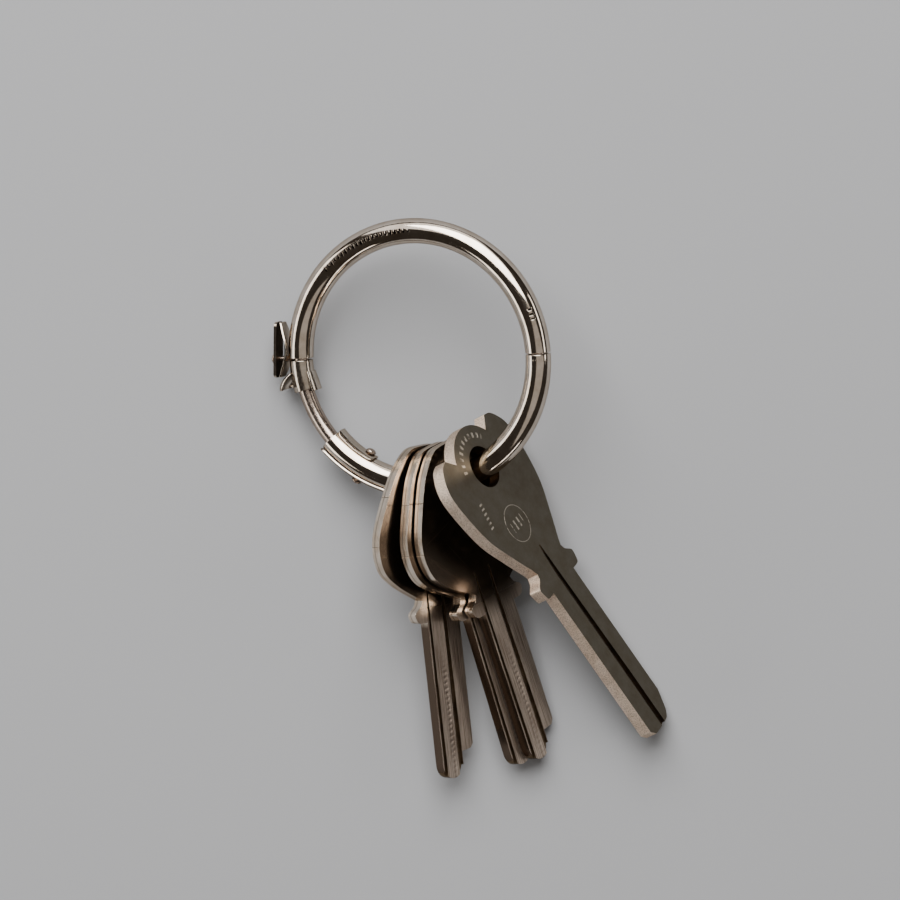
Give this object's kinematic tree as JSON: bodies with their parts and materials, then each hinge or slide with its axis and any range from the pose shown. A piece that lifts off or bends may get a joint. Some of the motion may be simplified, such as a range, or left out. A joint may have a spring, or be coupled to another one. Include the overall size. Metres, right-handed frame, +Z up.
{
  "type": "ring of keys",
  "caption": "Round tubular key ring with a sprung sliding bolt and thumb piece, holding uncut key blanks whose bows hang on it and whose blades fan out",
  "frame": {"origin": "centre of the bounding box footprint, on the surface the ring of keys lies on", "axes": "+Z up off the surface; +Y from the blades towards the ring, along the longest extent; +X to the right, towards the right-hand blade"},
  "size_m": [0.067, 0.094, 0.0251],
  "materials": {
    "bright_nickel": "polished nickel plate",
    "steel": "drawn, lightly worn",
    "spring_steel": "plain drawn wire",
    "key_nickel": "nickel silver, dulled by handling",
    "key_satin": "satin nickel plate with bright milled edges"
  },
  "bodies": {
    "ring": {"upper_tube": "bright_nickel", "lower_tube": "bright_nickel", "joint_plug": "steel", "spring_stop": "steel", "mouth_ferrule": "bright_nickel", "receiver_plate_outer": "bright_nickel", "receiver_plate_inner": "bright_nickel", "receiver_rivet": "steel", "bolt_spring": "spring_steel"},
    "bolt": {"bolt": "steel", "thumb_saddle": "bright_nickel", "thumb_plate": "bright_nickel", "thumb_rivet": "steel"},
    "key_left": {"key_left": "key_nickel"},
    "key_middle_rear": {"key_middle_rear": "key_nickel"},
    "key_middle_front": {"key_middle_front": "key_nickel"},
    "key_right": {"key_right": "key_satin"}
  },
  "joints": [
    {"name": "bolt_slide", "type": "hinge", "parent": "ring", "child": "bolt", "pos_m": [-0.00837, 0.02372, 0.01274], "axis": [-0.3577, -0.1267, 0.9252], "range_deg": [-34, 0], "stiffness_Nm_per_rad": 0.145, "springref_deg": 33.8, "deforming": ["bolt_spring"]},
    {"name": "key_left_swing", "type": "hinge", "parent": "ring", "child": "key_left", "pos_m": [-0.00735, 0.0026, 0.01025], "axis": [0.6757, -0.0124, 0.7371], "range_deg": [-90, 40]},
    {"name": "key_middle_rear_swing", "type": "hinge", "parent": "ring", "child": "key_middle_rear", "pos_m": [-0.0046, 0.00281, 0.01134], "axis": [0.6795, 0.0616, 0.7311], "range_deg": [-90, 40]},
    {"name": "key_middle_front_swing", "type": "hinge", "parent": "ring", "child": "key_middle_front", "pos_m": [-0.00241, 0.00328, 0.01225], "axis": [0.6795, 0.0616, 0.7311], "range_deg": [-90, 15]},
    {"name": "key_right_swing", "type": "hinge", "parent": "ring", "child": "key_right", "pos_m": [0.00176, 0.00504, 0.0141], "axis": [0.7338, 0.3692, 0.5702], "range_deg": [-90, 90]}
  ]
}
